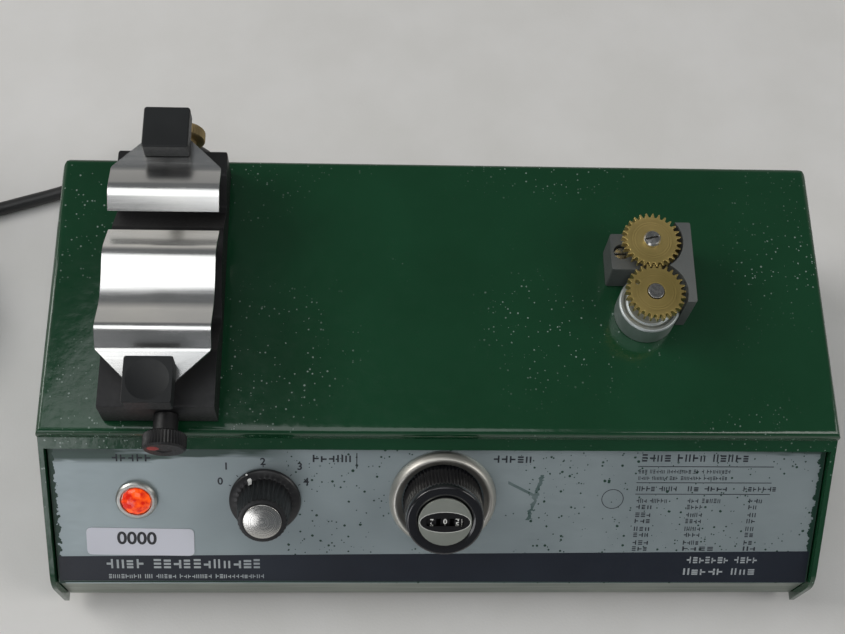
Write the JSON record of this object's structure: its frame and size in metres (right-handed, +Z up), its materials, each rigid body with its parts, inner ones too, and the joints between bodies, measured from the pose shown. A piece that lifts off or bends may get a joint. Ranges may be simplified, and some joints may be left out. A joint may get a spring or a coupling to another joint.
{
  "type": "syringe pump",
  "caption": "Bench syringe pump: green steel case with a sloping control panel, a cradle with two bent clamp plates, and a pair of meshed brass change gears on top.",
  "frame": {"origin": "on the table, under the middle of the pump without its mains cord", "axes": "+X to the pump's right as seen from its front, -Y towards its front, +Z up"},
  "size_m": [0.4738, 0.2197, 0.13],
  "materials": {
    "green_paint": "glossy hand-sprayed enamel with dust specks",
    "silver_overlay": "satin anodised printed sheet",
    "sheet_aluminium": "bare mill finish",
    "turned_aluminium": "polished and spun",
    "black_anodised": "black anodised, satin",
    "grey_anodised": "bead-blasted grey anodised",
    "black_plastic": "moulded black phenolic",
    "black_rubber": "black moulded rubber",
    "stainless": "brushed",
    "steel": "bright turned",
    "zinc": "turned and zinc plated",
    "brass": "milled, tarnished",
    "red_lens": "clear red, faceted",
    "white_label": "white sticker",
    "board_green": "glass-epoxy board",
    "dark_iron": "varnished laminations and dark castings",
    "capacitor_blue": "sleeved can"
  },
  "bodies": {
    "case": {"cover": "green_paint", "front_panel": "sheet_aluminium", "chassis_pan": "sheet_aluminium", "rear_panel": "sheet_aluminium", "panel_overlay": "silver_overlay", "asset_label": "white_label", "foot_front_left": "black_rubber", "foot_front_right": "black_rubber", "foot_back_left": "black_rubber", "foot_back_right": "black_rubber", "cord_bushing": "black_rubber", "cord": "black_rubber", "cord_tail": "black_rubber", "cord_coil": "black_rubber", "cover_screw_left_front": "steel", "cover_screw_left_back": "steel", "cover_screw_right_front": "steel", "cover_screw_right_back": "steel", "gear_shoulder_screw": "steel", "gear_block_screw": "steel", "motor": "steel", "lamp_bezel": "turned_aluminium", "flow_bezel": "turned_aluminium", "flow_dial_face": "turned_aluminium", "lamp_jewel": "red_lens", "lamp_holder": "black_plastic", "range_switch": "black_plastic", "flow_dial_core": "black_plastic", "flow_potentiometer": "black_plastic", "fuse_holder": "black_plastic", "cord_tie": "black_plastic", "plug_body": "black_plastic", "cradle_block": "black_anodised", "plug_pins": "brass", "output_housing": "zinc", "gear_block": "grey_anodised", "gearbox": "dark_iron", "transformer": "dark_iron", "circuit_board": "board_green", "capacitor": "capacitor_blue"},
    "range_selector": {"range_knob": "black_plastic", "range_knob_cap": "turned_aluminium", "range_shaft": "steel"},
    "flow_dial": {"flow_knob": "black_plastic"},
    "digit_hundreds": {"flow_digit_hundreds": "black_plastic"},
    "digit_tens": {"flow_digit_tens": "black_plastic"},
    "digit_units": {"flow_digit_units": "black_plastic"},
    "drive_gear": {"gear_drive": "brass", "drive_shaft": "steel"},
    "driven_gear": {"gear_driven": "brass"},
    "clamp_front": {"clamp_plate_front": "stainless", "clamp_head_front": "black_plastic", "clamp_post_front": "steel"},
    "clamp_back": {"clamp_plate_back": "stainless", "clamp_head_back": "black_plastic", "clamp_post_back": "steel"},
    "post_lock_front": {"cradle_knob_front": "black_anodised"},
    "post_lock_back": {"cradle_knob_back": "brass"}
  },
  "joints": [
    {"name": "range_switch_turn", "type": "hinge", "parent": "case", "child": "range_selector", "pos_m": [-0.0708, -0.06704, 0.06371], "axis": [0, -0.7071, 0.7071], "range_deg": [-90, 30]},
    {"name": "flow_dial_turn", "type": "hinge", "parent": "case", "child": "flow_dial", "pos_m": [0.0009, -0.06647, 0.06428], "axis": [0, -0.7071, 0.7071], "range_deg": [-1064, 2536]},
    {"name": "units_wheel_turn", "type": "hinge", "parent": "case", "child": "digit_units", "pos_m": [0.0062, -0.07439, 0.0722], "axis": [1, 0, 0], "range_deg": [-10640, 25360]},
    {"name": "tens_wheel_turn", "type": "hinge", "parent": "case", "child": "digit_tens", "pos_m": [0.0009, -0.07439, 0.0722], "axis": [1, 0, 0], "range_deg": [-1064, 2536]},
    {"name": "hundreds_wheel_turn", "type": "hinge", "parent": "case", "child": "digit_hundreds", "pos_m": [-0.0044, -0.07439, 0.0722], "axis": [1, 0, 0], "range_deg": [-106.4, 253.6]},
    {"name": "drive_gear_spin", "type": "hinge", "parent": "case", "child": "drive_gear", "pos_m": [0.0831, 0.00565, 0.1], "axis": [0, 0, 1], "continuous": true},
    {"name": "driven_gear_spin", "type": "hinge", "parent": "case", "child": "driven_gear", "pos_m": [0.0831, 0.02805, 0.1], "axis": [0, 0, 1], "continuous": true},
    {"name": "front_clamp_lift", "type": "slide", "parent": "case", "child": "clamp_front", "axis": [0, 0, 1], "range_m": [-0.007, 0.014]},
    {"name": "back_clamp_lift", "type": "slide", "parent": "case", "child": "clamp_back", "axis": [0, 0, 1], "range_m": [-0.01, 0.014]},
    {"name": "front_lock_turn", "type": "hinge", "parent": "case", "child": "post_lock_front", "pos_m": [-0.1072, -0.04145, 0.0982], "axis": [0, -1, 0], "range_deg": [0, 720]},
    {"name": "back_lock_turn", "type": "hinge", "parent": "case", "child": "post_lock_back", "pos_m": [-0.1072, 0.06975, 0.0982], "axis": [0, 1, 0], "range_deg": [0, 720]}
  ],
  "couplings": [
    {"joint": "units_wheel_turn", "follows": "flow_dial_turn", "ratio": 10},
    {"joint": "tens_wheel_turn", "follows": "flow_dial_turn", "ratio": 1},
    {"joint": "hundreds_wheel_turn", "follows": "flow_dial_turn", "ratio": 0.1},
    {"joint": "driven_gear_spin", "follows": "drive_gear_spin", "ratio": -1}
  ]
}
